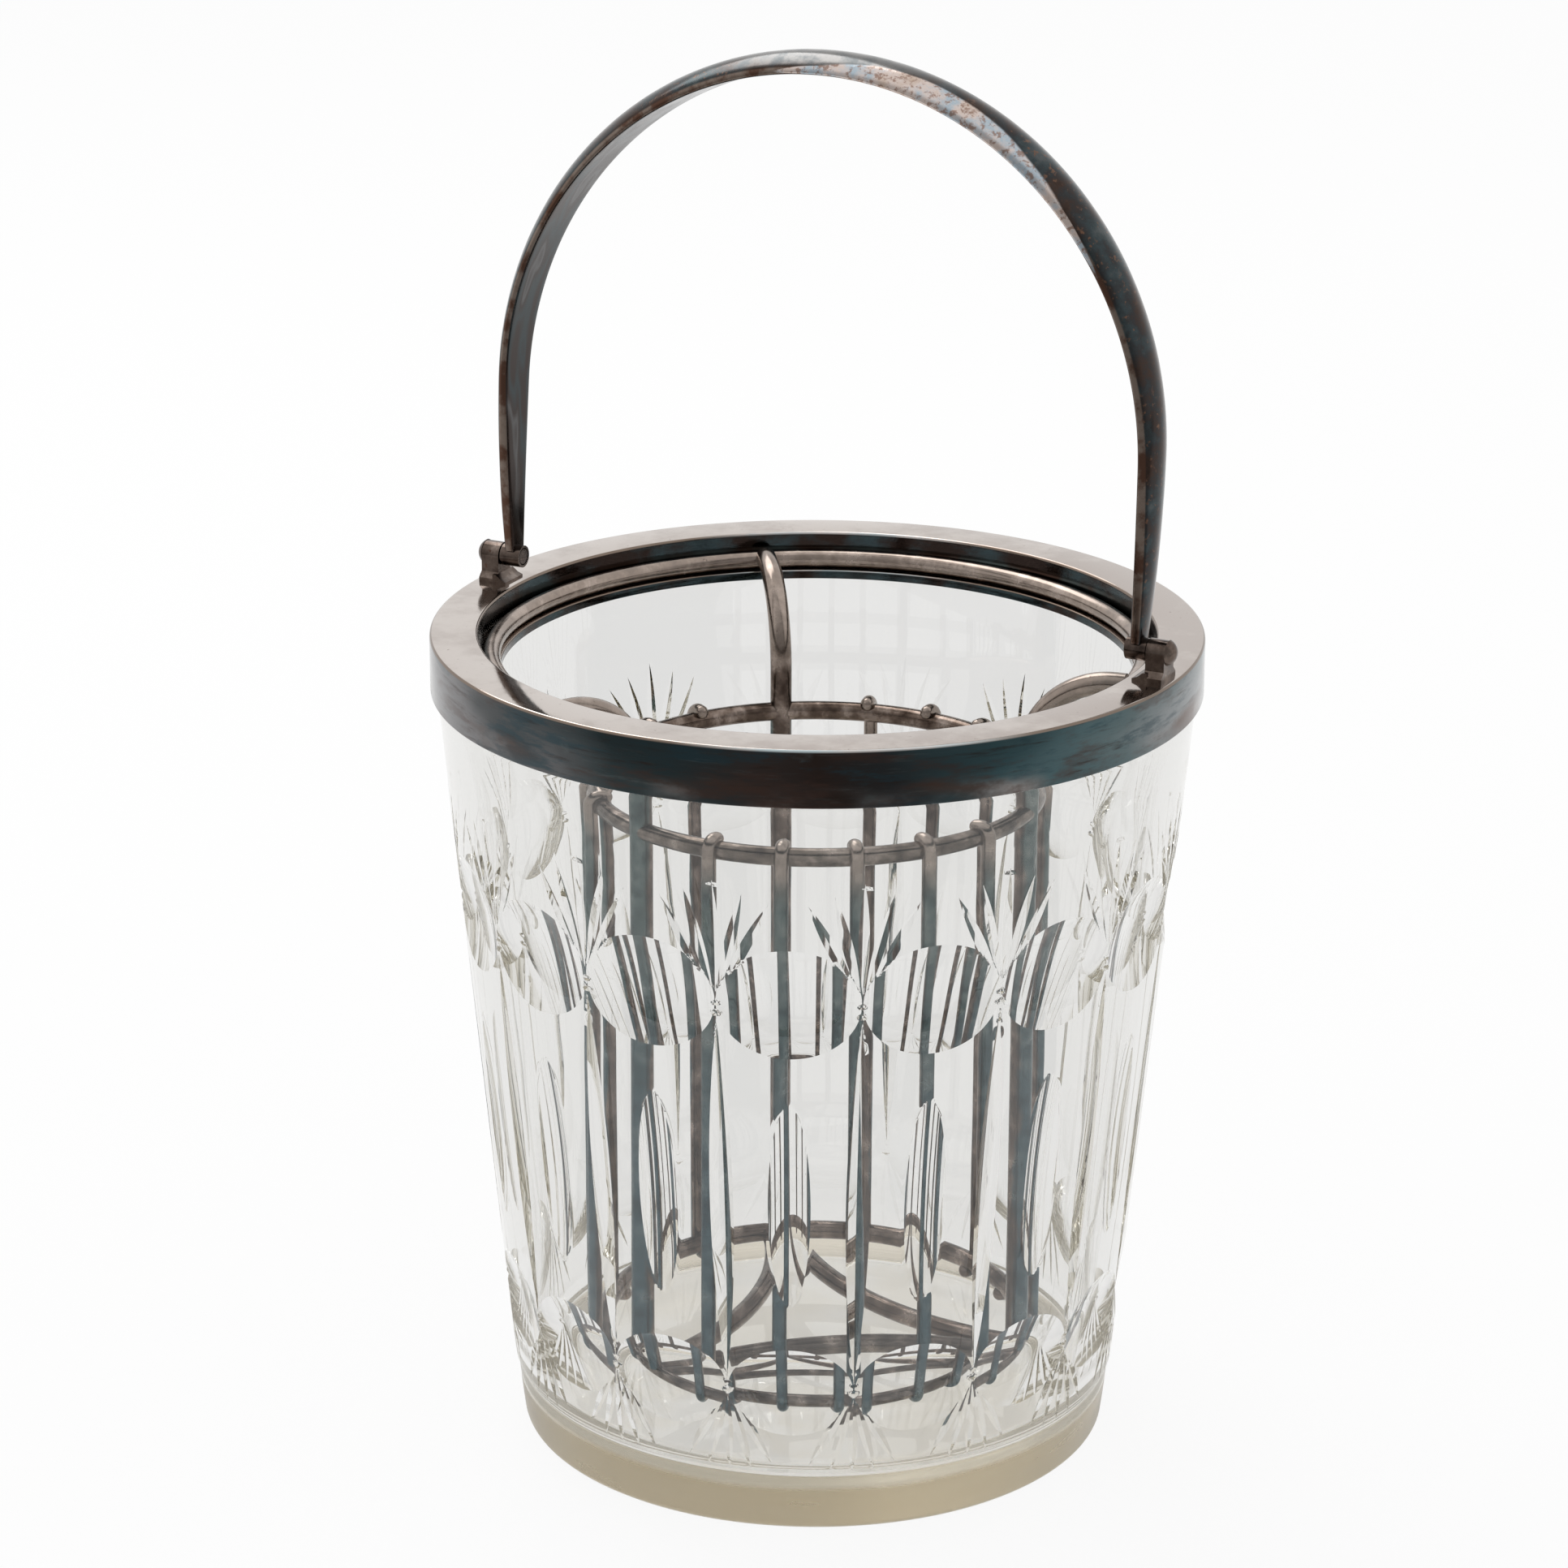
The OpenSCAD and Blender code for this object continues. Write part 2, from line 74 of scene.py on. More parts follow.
# Glass, in millimetres and degrees: the same wall line as the solid, with the cut pattern at full detail
REPEATS = 16
PITCH = 360.0 / REPEATS
HALF = PITCH / 2
PATTERN_TURN = 10.9
BASE_R, TOP_R, BAND_Z = 74.9, 93.4, 194.3
TOP_Z = 206.9
WALL, FLOOR_Z, FLOOR_ROUND = 6.5, 12.0, 8.0
SLOPE = (TOP_R - BASE_R) / BAND_Z
TILT = math.atan(SLOPE)
SECANT = 1.0 / math.cos(TILT)
UPPER_KNOT, LOWER_KNOT = 143.45, 38.9
STEM_Z, STEM_LONG, STEM_WIDE, STEM_DEEP = 89.8, 97.7, 5.8, 2.6
OLIVE_Z, OLIVE_LONG, OLIVE_WIDE, OLIVE_HOLLOW = 90.0, 54.5, 10.2, 1.6
# The lenses are hollow below the chord from stem to stem
LENS_LONG, LENS_HOLLOW = 28.2, 1.5
LOW_LENS_LONG, LOW_LENS_HOLLOW = 23.8, 1.2
LENS_GAP = 0.3
LEAF_WIDE, LEAF_DEEP = 2.6, 0.65
LOW_LEAF_WIDE, LOW_LEAF_DEEP = 2.4, 0.45
# Leaves as (angle from upright, start, end), measured from the knot
FAN = ((-27.0, 3.0, 28.8), (-14.0, 2.5, 28.9), (0.0, 2.5, 31.0), (14.0, 2.5, 28.9), (27.0, 3.0, 28.8))
LOW_FAN = ((-27.5, 2.0, 22.5), (-14.0, 2.0, 22.6), (0.0, 2.0, 22.4), (14.0, 2.0, 22.6), (27.5, 2.0, 22.5))
# Notches across the knots as (height, width, height of the cut, depth)
NOTCHES = ((142.9, 4.6, 1.5, 0.75), (140.3, 4.6, 1.5, 0.75), (38.5, 5.4, 2.0, 0.85), (40.8, 4.2, 1.0, 0.5))
# Rows of the wall from its top down as (height, spacing below it)
ROWS = ((BAND_Z, 1.5), (176.0, 0.45), (126.0, 0.8), (112.0, 2.2), (68.0, 0.8), (54.0, 0.45))
WALL_FOOT = 17.6
# Guiding columns of a leaf: on one edge, in the middle and on the other edge
LEAF_LINES = (-1, 0, 1)
# Steps of columns in one repeat: beside the fan, on each half of a leaf, and between two leaves
OUTER_STEPS, LEAF_STEPS, SPACE_STEPS = 16, 3, 4
LEAF_HALVES = [LEAF_STEPS, LEAF_STEPS]
FAN_STEPS = (LEAF_HALVES + [SPACE_STEPS]) * (len(FAN) - 1) + LEAF_HALVES
# Places of the guiding columns among all columns of a repeat
GUIDES = np.cumsum([0, OUTER_STEPS] + FAN_STEPS + [OUTER_STEPS])
COLUMNS = int(GUIDES[-1])
# Guiding columns on each side of a stem, as many as the fan has on each side of its middle
SIDE_GUIDES = (len(FAN) * len(LEAF_LINES) - 1) // 2
# Heights between which the columns pass from the lower fan to the stem, and from the stem to the upper fan
LOW_PASS, HIGH_PASS = (34.0, 50.0), (130.0, 148.0)
# Least half widths of a leaf and of a ridge
THIN_LEAF, THIN_RIDGE = 0.12, 0.06
# Least angles between two columns, over half a stem and over half an olive
THIN_GAP, THIN_STEM, THIN_OLIVE = 0.02, 0.4, 1.2
# Rounds in which the edges of a leaf are worked out
EDGE_ROUNDS = 3
# Heights over which the columns become even above the fans, and the rings of the foot over which they do
EVEN_PASS, EVEN_RINGS = (175.5, 188.0), 9
# Points this close to the edge of a lens are moved onto it, by slopes that are taken over a small length
SNAP, PROBE, LEAST_STEEPNESS = 0.22, 0.01, 1e-9
# Side of the foot as (radius, height), from the wall down, and the rounding of its lower edge
FOOT = ((76.45, 17.25), (76.12, 16.6), (75.66, 15.9), (75.36, 15.2), (75.24, 14.5), (75.3, 13.8),
        (75.46, 13.1), (75.52, 12.5), (75.46, 11.9), (75.34, 11.2), (75.15, 9.0), (74.75, 5.5), (74.3, 2.0))
FOOT_ROUND, FOOT_ANGLES = 2.0, range(10, 91, 10)
# Radii of the rings of the underside and of the floor, and steps round the floor's edge and up the inside
UNDER_RINGS, FLOOR_RINGS = (69.0, 60.0, 48.0, 34.0, 18.0, 6.0), (6.0, 18.0, 34.0, 48.0)
FLOOR_STEPS, INSIDE_STEPS = 14, 12
# Edges where the faces turn by more than this are sharp
GLASS_SHARP = 17


def wall_r(z):
    return BASE_R + SLOPE * z


def wheel(long, deep):
    """Radius of a wheel whose cut is this long and deep."""
    return (long * long / 4 + deep * deep) / (2 * deep)


def sag(r, s):
    """How far a circle falls away at this distance from its highest point."""
    return r - np.sqrt(np.maximum(r * r - s * s, 0.0))


def olive_cut(r, s, t, long, wide, hollow):
    """Depth of a cut by a round wheel, hollow below its chord, on a wall of this radius."""
    deep = hollow + sag(r, wide / 2)
    w, edge = wheel(long, deep), wheel(wide, hollow)
    return deep - sag(edge, s) - sag(w, t) - sag(r, s)


def lens_cut(r, s, t, long, hollow):
    """Depth of a lens, which is as wide as the space between two stems."""
    return olive_cut(r, s, t, long, 2 * r * math.sin(math.radians(HALF)) - LENS_GAP, hollow)


def mitre_cut(s, t, long, wide, deep):
    """Depth of a straight V-shaped cut that runs out at both ends."""
    return deep * (1 - (2 * t / long) ** 2) - np.abs(s) * 2 * deep / wide


def leaf_cut(s, t, leaf, wide, deep):
    """Depth of a leaf, at a place across and up from its knot."""
    a = math.radians(leaf[0])
    along = s * math.sin(a) + t * math.cos(a)
    across = s * math.cos(a) - t * math.sin(a)
    return mitre_cut(across, along - (leaf[1] + leaf[2]) / 2, leaf[2] - leaf[1], wide, deep)


def cut_depth(phi, z):
    """Depth of the cutting at an angle from the nearest knot (degrees) and a height."""
    r = wall_r(z)
    s = r * np.sin(np.radians(phi))
    across = r * np.sin(np.radians(HALF - np.abs(phi)))
    up, down = (z - UPPER_KNOT) * SECANT, (LOWER_KNOT - z) * SECANT
    cuts = [lens_cut(r, across, up, LENS_LONG, LENS_HOLLOW),
            lens_cut(r, across, down, LOW_LENS_LONG, LOW_LENS_HOLLOW),
            olive_cut(r, across, (z - OLIVE_Z) * SECANT, OLIVE_LONG, OLIVE_WIDE, OLIVE_HOLLOW),
            mitre_cut(s, (z - STEM_Z) * SECANT, STEM_LONG, STEM_WIDE, STEM_DEEP)]
    cuts += [leaf_cut(s, up, leaf, LEAF_WIDE, LEAF_DEEP) for leaf in FAN]
    cuts += [leaf_cut(s, down, leaf, LOW_LEAF_WIDE, LOW_LEAF_DEEP) for leaf in LOW_FAN]
    cuts += [mitre_cut(z - at, s, wide, tall, deep) for at, wide, tall, deep in NOTCHES]
    return np.maximum.reduce(cuts + [np.zeros_like(z)])


def leaf_lines(t, leaf, wide):
    """Places across the wall of a leaf's edge, middle and other edge, at a length up from its knot."""
    a = math.radians(leaf[0])
    t = min(max(t, leaf[1] * math.cos(a)), leaf[2] * math.cos(a))
    places = [t * math.tan(a)] * len(LEAF_LINES)
    for _ in range(EDGE_ROUNDS):
        along = [s * math.sin(a) + t * math.cos(a) for s in places]
        ends = [(2 * length - leaf[1] - leaf[2]) / (leaf[2] - leaf[1]) for length in along]
        half = [wide / 2 * (1 - end ** 2) for end in ends]
        half = [max(THIN_LEAF, h) for h in half]
        places = [t * math.tan(a) + way * h / math.cos(a) for way, h in zip(LEAF_LINES, half)]
    return places


def fan_guides(t, leaves, wide, r):
    """Angles of the columns along a fan. Where leaves overlap, their edges meet on a ridge."""
    lines = [leaf_lines(t, leaf, wide) for leaf in leaves]
    for one, other in zip(lines[:-1], lines[1:]):
        if one[2] > other[0] - 2 * THIN_RIDGE:
            ridge = (one[1] + other[1]) / 2
            one[2], other[0] = ridge - THIN_RIDGE, ridge + THIN_RIDGE
    return np.degrees(np.arcsin(np.array(lines).ravel() / r))


def stem_guides(z, r):
    """Angles of the columns along the stem, with the outermost ones on the edges of the olives."""
    stem = STEM_WIDE / 2 * max(0.0, 1 - (2 * (z - STEM_Z) * SECANT / STEM_LONG) ** 2)
    olive = OLIVE_WIDE / 2 * math.sqrt(max(0.0, 1 - (2 * (z - OLIVE_Z) * SECANT / OLIVE_LONG) ** 2))
    inner = max(THIN_STEM, math.degrees(stem / r))
    right = np.linspace(inner, HALF - max(THIN_OLIVE, math.degrees(olive / r)), SIDE_GUIDES)
    return np.concatenate([-right[::-1], [0.0], right])


def guide_angles(z):
    """Angles of the guiding columns at a height, in rising order."""
    r = wall_r(z)
    high = np.interp(z, HIGH_PASS, (0.0, 1.0))
    low = np.interp(z, LOW_PASS, (1.0, 0.0))
    angles = ((1 - high - low) * stem_guides(z, r)
              + high * fan_guides((z - UPPER_KNOT) * SECANT, FAN, LEAF_WIDE, r)
              + low * fan_guides((LOWER_KNOT - z) * SECANT, LOW_FAN, LOW_LEAF_WIDE, r))
    for k in range(1, len(angles)):
        angles[k] = max(angles[k], angles[k - 1] + THIN_GAP)
    return angles


def snap_to_lens(phi, z, knot, long, hollow):
    """Moves points next to the edge of a lens onto it, apart from those in another cut."""
    def lens(phi, z):
        r = wall_r(z)
        return lens_cut(r, r * np.sin(np.radians(HALF - np.abs(phi))), (z - knot) * SECANT, long, hollow)

    r = wall_r(z)
    probe = np.degrees(PROBE / r)
    here = lens(phi, z)
    slope_s = (lens(phi + probe, z) - lens(phi - probe, z)) / (2 * PROBE)
    slope_z = (lens(phi, z + PROBE) - lens(phi, z - PROBE)) / (2 * PROBE)
    steep = np.maximum(slope_s ** 2 + slope_z ** 2, LEAST_STEEPNESS)
    near = (np.abs(here) / np.sqrt(steep) < SNAP) & (cut_depth(phi, z) <= np.maximum(here, 0.0))
    move = np.where(near, -here / steep, 0.0)
    return phi + np.degrees(move * slope_s / r), z + move * slope_z


def even_angles():
    return -HALF + PITCH * np.arange(COLUMNS) / COLUMNS


def wall_grid():
    """Angles from the knot and heights of one repeat, with its last column left to the next one."""
    z = []
    for k, (top, spacing) in enumerate(ROWS):
        bottom = ROWS[k + 1][0] if k + 1 < len(ROWS) else WALL_FOOT
        count = max(1, round((top - bottom) / spacing))
        z += [top + (bottom - top) * i / count for i in range(count)]
    z = np.array(z + [WALL_FOOT])
    phi = []
    for height in z:
        guides = np.concatenate([[-HALF], guide_angles(height), [HALF]])
        even = np.interp(height, EVEN_PASS, (0.0, 1.0))
        phi.append((1 - even) * np.interp(np.arange(COLUMNS), GUIDES, guides) + even * even_angles())
    phi, z = np.array(phi), np.tile(z[:, None], (1, COLUMNS))
    phi, z = snap_to_lens(phi, z, UPPER_KNOT, LENS_LONG, LENS_HOLLOW)
    return snap_to_lens(phi, z, LOWER_KNOT, LOW_LENS_LONG, LOW_LENS_HOLLOW)


def wall_faces(phi, z, depth):
    """Triangles of the wall. Each quad is split along the diagonal that follows the cutting best."""
    phi = np.concatenate([phi, np.full((len(phi), 1), HALF)], axis=1)
    z = np.concatenate([z, z[:, :1]], axis=1)
    depth = np.concatenate([depth, depth[:, :1]], axis=1)

    def middle(field):
        return (field[:-1, :-1] + field[1:, :-1] + field[1:, 1:] + field[:-1, 1:]) / 4

    true = cut_depth(middle(phi), middle(z))
    falling = np.abs(true - (depth[:-1, :-1] + depth[1:, 1:]) / 2)
    rising = np.abs(true - (depth[1:, :-1] + depth[:-1, 1:]) / 2)
    split = np.tile(falling <= rising, (1, REPEATS)).ravel()
    count = COLUMNS * REPEATS
    rows = np.arange(len(phi) - 1)[:, None] * count
    here, there = np.arange(count), (np.arange(count) + 1) % count
    a, d = (rows + here).ravel(), (rows + there).ravel()
    b, c = a + count, d + count
    first = np.where(split[:, None], np.stack([a, b, c], 1), np.stack([a, b, d], 1))
    second = np.where(split[:, None], np.stack([a, c, d], 1), np.stack([b, c, d], 1))
    return np.concatenate([first, second])


def mesh_object(name, verts, faces, sharp):
    """A smooth mesh with sharp edges where its faces turn by more than an angle."""
    mesh = bpy.data.meshes.new(name)
    mesh.from_pydata(verts, [], faces)
    mesh.polygons.foreach_set("use_smooth", [True] * len(mesh.polygons))
    mesh.update()
    mesh.set_sharp_from_angle(angle=math.radians(sharp))
    obj = bpy.data.objects.new(name, mesh)
    bpy.context.scene.collection.objects.link(obj)
    return obj


def ring_faces(first, second, count):
    """Quads between two rings of vertices that start at these indices."""
    here = np.arange(count)
    there = (here + 1) % count
    return np.stack([first + here, second + here, second + there, first + there], axis=1).tolist()


def foot_outline():
    """Outside of the foot as (radius, height), from the wall down and in to the middle."""
    outline = list(FOOT)
    foot_r = FOOT[-1][0]
    for angle in FOOT_ANGLES:
        a = math.radians(angle)
        outline.append((foot_r - FOOT_ROUND * (1 - math.cos(a)), FOOT_ROUND * (1 - math.sin(a))))
    return outline + [(r, 0.0) for r in UNDER_RINGS]


def inside_outline():
    """Inside of the glass as (radius, height), from the middle of the floor up and out over the top edge."""
    round_z = FLOOR_Z + FLOOR_ROUND
    round_r = wall_r(round_z) - WALL * SECANT - FLOOR_ROUND * SECANT
    outline = [(r, FLOOR_Z) for r in (*FLOOR_RINGS, round_r)]
    for k in range(1, FLOOR_STEPS + 1):
        a = (math.pi / 2 - TILT) * k / FLOOR_STEPS
        outline.append((round_r + FLOOR_ROUND * math.sin(a), round_z - FLOOR_ROUND * math.cos(a)))
    start = outline[-1][1]
    for k in range(1, INSIDE_STEPS + 1):
        height = start + (BAND_Z - start) * k / INSIDE_STEPS
        outline.append((wall_r(height) - WALL * SECANT, height))
    return outline + [(outline[-1][0], TOP_Z), (TOP_R, TOP_Z)]


def all_round(phi):
    """Angles of all repeats in radians, from those of one repeat."""
    return np.radians(np.concatenate([phi + PATTERN_TURN + PITCH * k for k in range(REPEATS)], axis=1))


def make_glass():
    """The glass as one closed mesh: cut wall, foot, inside and top edge."""
    phi, z = wall_grid()
    depth = cut_depth(phi, z)
    turn = all_round(phi)
    r, height = np.tile(wall_r(z) - depth, (1, REPEATS)), np.tile(z, (1, REPEATS))
    wall = np.stack([r * np.cos(turn), r * np.sin(turn), height], axis=2)
    count = COLUMNS * REPEATS
    even = all_round(even_angles()[None, :])[0]
    plain = []
    for k, (radius, level) in enumerate(foot_outline() + inside_outline()):
        share = min(1.0, (k + 1) / EVEN_RINGS)
        angle = (1 - share) * turn[-1] + share * even
        ring = (radius * np.cos(angle), radius * np.sin(angle), np.full(count, level))
        plain.append(np.stack(ring, axis=1))
    plain = np.array(plain)
    verts = np.concatenate([wall.reshape(-1, 3), plain.reshape(-1, 3), [[0, 0, 0], [0, 0, FLOOR_Z]]]) * MM
    faces = wall_faces(phi, z, depth).tolist()
    outside = len(wall) + len(foot_outline())
    total = len(wall) + len(plain)
    for k in list(range(len(wall) - 1, outside - 1)) + list(range(outside, total - 1)):
        faces += ring_faces(k * count, (k + 1) * count, count)
    faces += ring_faces((total - 1) * count, 0, count)
    bottom, floor = total * count, total * count + 1
    low, high = (outside - 1) * count, outside * count
    for i in range(count):
        j = (i + 1) % count
        faces += [(low + i, bottom, low + j), (high + j, floor, high + i)]
    return mesh_object("cut_glass_vessel", verts.tolist(), faces, GLASS_SHARP)


# Metal, in millimetres: the rim mount and the handle, finer and with softer edges than the solids
RIM_SEGMENTS = 384
# Profile of the mount as (radius, height, rounding)
RIM_PROFILE = ((95.0, 194.3, 0.4), (95.0, 208.5, 0.8), (83.1, 208.5, 0.8), (83.1, 199.75, 0.3),
               (77.65, 199.75, 0.4), (77.65, 197.4, 0.4), (84.6, 197.4, 0.3), (84.6, 207.0, 0.3),
               (93.5, 207.0, 0.3), (93.5, 194.3, 0.4))
ROUND_STEPS = 6
PIVOT_Z, LEAN = 215.2, math.radians(3.4)
HANDLE_RISE, FOOT_X, LEG_BOW = 132.0, 85.2, 1.7
THICK_TOP, THICK_FOOT = 5.2, 2.8
WIDE_TOP, WIDE_FOOT, WIDE_POWER = 15.4, 5.3, 2.5
# Radius of the rounded outside, and the softening of the edges, at most this share of their thickness
BAND_CROWN, BAND_EDGE, EDGE_SHARE = 10.0, 0.7, 0.45
HANDLE_START = 1.6
LEG_STEPS, ARCH_STEPS, FACE_STEPS, EDGE_STEPS = 40, 240, 12, 5
RIM_SHARP, HANDLE_SHARP = 60, 50
# Direction across the band, and the middle of the arch in metres
HANDLE_ACROSS = (0.0, math.cos(LEAN), -math.sin(LEAN))
HANDLE_HUB = (0.0, 0.0, 0.2606)


def rounded_profile(corners):
    """Points of a closed profile with its corners rounded."""
    points = []
    for k, (r, z, radius) in enumerate(corners):
        here = np.array([r, z])
        back = np.array(corners[k - 1][:2]) - here
        ahead = np.array(corners[(k + 1) % len(corners)][:2]) - here
        back, ahead = back / np.linalg.norm(back), ahead / np.linalg.norm(ahead)
        for i in range(ROUND_STEPS + 1):
            a = math.pi / 2 * i / ROUND_STEPS
            points.append(here + radius * ((1 - math.sin(a)) * back + (1 - math.cos(a)) * ahead))
    return np.array(points)


def make_rim():
    """The rim mount, turned about the axis."""
    profile = rounded_profile(RIM_PROFILE)
    turn = 2 * math.pi * np.arange(RIM_SEGMENTS) / RIM_SEGMENTS
    verts = np.array([np.stack([r * np.cos(turn), r * np.sin(turn), np.full_like(turn, z)], axis=1)
                      for r, z in profile]).reshape(-1, 3) * MM
    faces = []
    for k in range(len(profile)):
        faces += ring_faces(((k + 1) % len(profile)) * RIM_SEGMENTS, k * RIM_SEGMENTS, RIM_SEGMENTS)
    return mesh_object("rim_mount_fine", verts.tolist(), faces, RIM_SHARP)


def handle_line(way):
    """Outer (+1) or inner (-1) outline of the handle from the front, as (x, z), right foot to left foot."""
    arch_r = FOOT_X + LEG_BOW
    side = THICK_TOP - (THICK_TOP - THICK_FOOT) * (arch_r / HANDLE_RISE) ** 2
    r = arch_r + way * side / 2
    z = HANDLE_RISE + way * THICK_TOP / 2 - r
    bow = r - FOOT_X - way * THICK_FOOT / 2
    flat = (z * z + bow * bow) / (2 * bow)
    height = np.linspace(HANDLE_START, z, LEG_STEPS + 1)[:-1]
    leg = np.stack([r - flat + np.sqrt(flat ** 2 - (z - height) ** 2), height], axis=1)
    a = np.pi * np.arange(ARCH_STEPS + 1) / ARCH_STEPS
    arch = np.stack([r * np.cos(a), z + r * np.sin(a)], axis=1)
    return np.concatenate([leg, arch, leg[::-1] * (-1, 1)])


def bend(start, corner, end):
    """Points round a corner, from start to end, for all stations at once."""
    u = (np.arange(EDGE_STEPS + 1) / EDGE_STEPS)[None, :, None]
    start, corner, end = (np.stack(p, axis=1)[:, None, :] for p in (start, corner, end))
    return (1 - u) ** 2 * start + 2 * u * (1 - u) * corner + u ** 2 * end


def band_sections(half, thick):
    """Sections of the handle band as (across, out): a rounded outside, a flat inside and softened edges."""
    def crown(across):
        return thick / 2 - sag(BAND_CROWN, across)

    inside = -thick / 2
    soft = np.minimum(BAND_EDGE, EDGE_SHARE * (crown(half) - inside))
    wide = half - soft
    right = [bend((wide, crown(wide)), (half, crown(half)), (half, crown(half) - soft)),
             bend((half, inside + soft), (half, inside), (wide, inside))]
    left = [part[:, ::-1] * (-1, 1) for part in reversed(right)]
    share = (np.arange(1, FACE_STEPS) / FACE_STEPS * 2 - 1)[None, :]
    across = wide[:, None] * share
    outer = np.stack([across, (thick / 2)[:, None] - sag(BAND_CROWN, across)], axis=2)
    inner = np.stack([-across, np.broadcast_to(inside[:, None], across.shape)], axis=2)
    return np.concatenate([outer] + right + [inner] + left, axis=1)


def make_handle():
    """The handle band, along its line and leaning to the back."""
    outer, inner = handle_line(1), handle_line(-1)
    middle, out = (outer + inner) / 2, outer - inner
    thick = np.linalg.norm(out, axis=1)
    out = out / thick[:, None]
    rise = np.abs(1 - middle[:, 1] / HANDLE_RISE) ** WIDE_POWER
    section = band_sections(WIDE_TOP / 2 - (WIDE_TOP - WIDE_FOOT) / 2 * rise, thick)
    x = middle[:, :1] + out[:, :1] * section[:, :, 1]
    z = middle[:, 1:] + out[:, 1:] * section[:, :, 1]
    y = section[:, :, 0]
    verts = np.stack([x, y * math.cos(LEAN) + z * math.sin(LEAN),
                      PIVOT_Z + z * math.cos(LEAN) - y * math.sin(LEAN)], axis=2)
    count = section.shape[1]
    faces = []
    for k in range(len(verts) - 1):
        faces += ring_faces(k * count, (k + 1) * count, count)
    last = (len(verts) - 1) * count
    faces += [list(reversed(range(count))), [last + i for i in range(count)]]
    return mesh_object("handle_band", (verts.reshape(-1, 3) * MM).tolist(), faces, HANDLE_SHARP)


# Materials
class Tree:
    """The node tree of a material or a world, with short ways to add nodes and join them."""

    def __init__(self, owner, output="ShaderNodeOutputMaterial"):
        self.material = bpy.data.materials.new(owner) if isinstance(owner, str) else owner
        self.material.use_nodes = True
        self.tree = self.material.node_tree
        self.tree.nodes.clear()
        self.output = self.add(output)

    def add(self, kind, inputs=None, **settings):
        node = self.tree.nodes.new(kind)
        for key, value in settings.items():
            setattr(node, key, value)
        for key, value in (inputs or {}).items():
            if isinstance(value, bpy.types.NodeSocket):
                self.tree.links.new(value, node.inputs[key])
            else:
                node.inputs[key].default_value = value
        return node

    def math(self, operation, a, b=0.0):
        return self.add("ShaderNodeMath", {0: a, 1: b}, operation=operation).outputs[0]

    def times(self, a, b):
        return self.math("MULTIPLY", a, b)

    def blend(self, a, share_a, b, share_b):
        """Sum of two values, each with its share."""
        return self.math("ADD", self.times(a, share_a), self.times(b, share_b))

    def place(self):
        return self.add("ShaderNodeTexCoord").outputs["Object"]

    def facing(self):
        return self.add("ShaderNodeTexCoord").outputs["Normal"]

    def split(self, vector):
        return self.add("ShaderNodeSeparateXYZ", {0: vector}).outputs

    def vector(self, operation, a, b=(0.0, 0.0, 0.0)):
        node = self.add("ShaderNodeVectorMath", {0: a, 1: b}, operation=operation)
        return node.outputs["Value" if operation in ("DOT_PRODUCT", "LENGTH") else "Vector"]

    def level(self, at):
        """A place without its height."""
        return self.vector("MULTIPLY", at, (1.0, 1.0, 0.0))

    def outwards(self, at):
        """Level direction away from the axis."""
        return self.vector("NORMALIZE", self.level(at))

    def noise(self, vector, scale, detail, rough, stretch=None):
        if stretch:
            vector = self.add("ShaderNodeMapping", {"Vector": vector, "Scale": stretch}).outputs[0]
        return self.add("ShaderNodeTexNoise", {"Vector": vector, "Scale": scale, "Detail": detail,
                                               "Roughness": rough}).outputs["Fac"]

    def lean(self, value, other, share):
        """A value, shifted by a share of another one that lies about 0.5."""
        return self.math("ADD", value, self.times(self.math("SUBTRACT", other, 0.5), share))

    def step(self, value, low, high, out_low=0.0, out_high=1.0):
        return self.add("ShaderNodeMapRange", {0: value, 1: low, 2: high, 3: out_low, 4: out_high},
                        interpolation_type="SMOOTHSTEP").outputs[0]

    def fall(self, value, low, high):
        """A step from 1 down to 0."""
        return self.step(value, low, high, 1.0, 0.0)

    def ramp(self, value, stops):
        node = self.add("ShaderNodeValToRGB", {0: value})
        ramp = node.color_ramp
        while len(ramp.elements) < len(stops):
            ramp.elements.new(0.5)
        for element, (at, colour) in zip(ramp.elements, stops):
            element.position = at
            element.color = (*colour, 1.0)
        return node.outputs[0]

    def mix(self, factor, a, b):
        node = self.add("ShaderNodeMix", {0: factor}, data_type="RGBA")
        for socket, value in ((node.inputs[6], a), (node.inputs[7], b)):
            if isinstance(value, bpy.types.NodeSocket):
                self.tree.links.new(value, socket)
            else:
                socket.default_value = (*value, 1.0)
        return node.outputs[2]

    def veil(self, under, over, mask, share):
        """A colour with a share of another one over it, where the mask shows it."""
        return self.mix(self.times(mask, share), under, over)

    def bump(self, height, distance, strength):
        inputs = {"Height": height, "Distance": distance, "Strength": strength}
        return self.add("ShaderNodeBump", inputs).outputs[0]

    def join(self, shader, socket):
        self.tree.links.new(shader.outputs[0], self.output.inputs[socket])

    def principled(self, **inputs):
        names = {k.replace("_", " "): v for k, v in inputs.items()}
        self.join(self.add("ShaderNodeBsdfPrincipled", names), "Surface")


